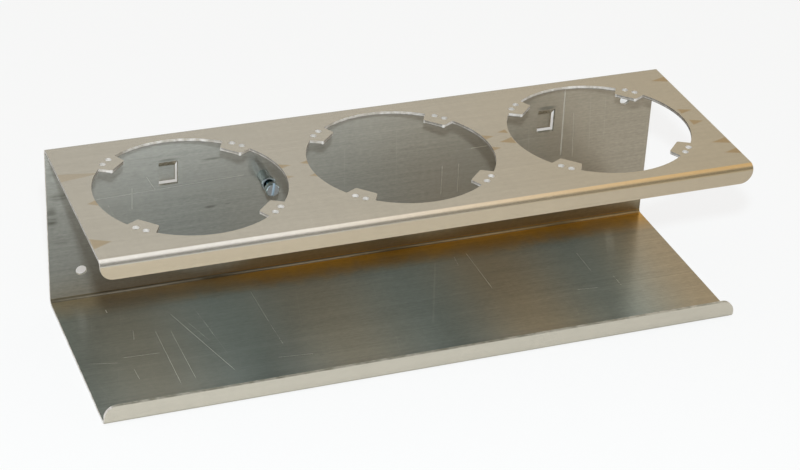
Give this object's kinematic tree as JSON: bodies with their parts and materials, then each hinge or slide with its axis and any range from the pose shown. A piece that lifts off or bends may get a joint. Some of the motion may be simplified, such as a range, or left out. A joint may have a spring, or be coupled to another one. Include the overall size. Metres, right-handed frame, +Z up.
{
  "type": "pegboard can holder",
  "caption": "Folded sheet-metal holder for round cans, with a lipped shelf, openings with bendable tabs, hooks for a perforated panel and a clamping screw.",
  "frame": {"origin": "centre of the shelf's underside, on the surface that the holder stands on", "axes": "+X along the length, +Y towards the wall or panel, +Z up"},
  "size_m": [0.304, 0.1065, 0.0825],
  "materials": {
    "sheet": "rolled aluminium with fine grain, scratches and stains, bright laser-cut edges",
    "bush": "bright bluish zinc plating, turned",
    "screw": "bright bluish zinc plating"
  },
  "bodies": {
    "root": {"holder_sheet": "sheet", "lock_bush": "bush", "lock_screw": "screw"}
  },
  "joints": []
}
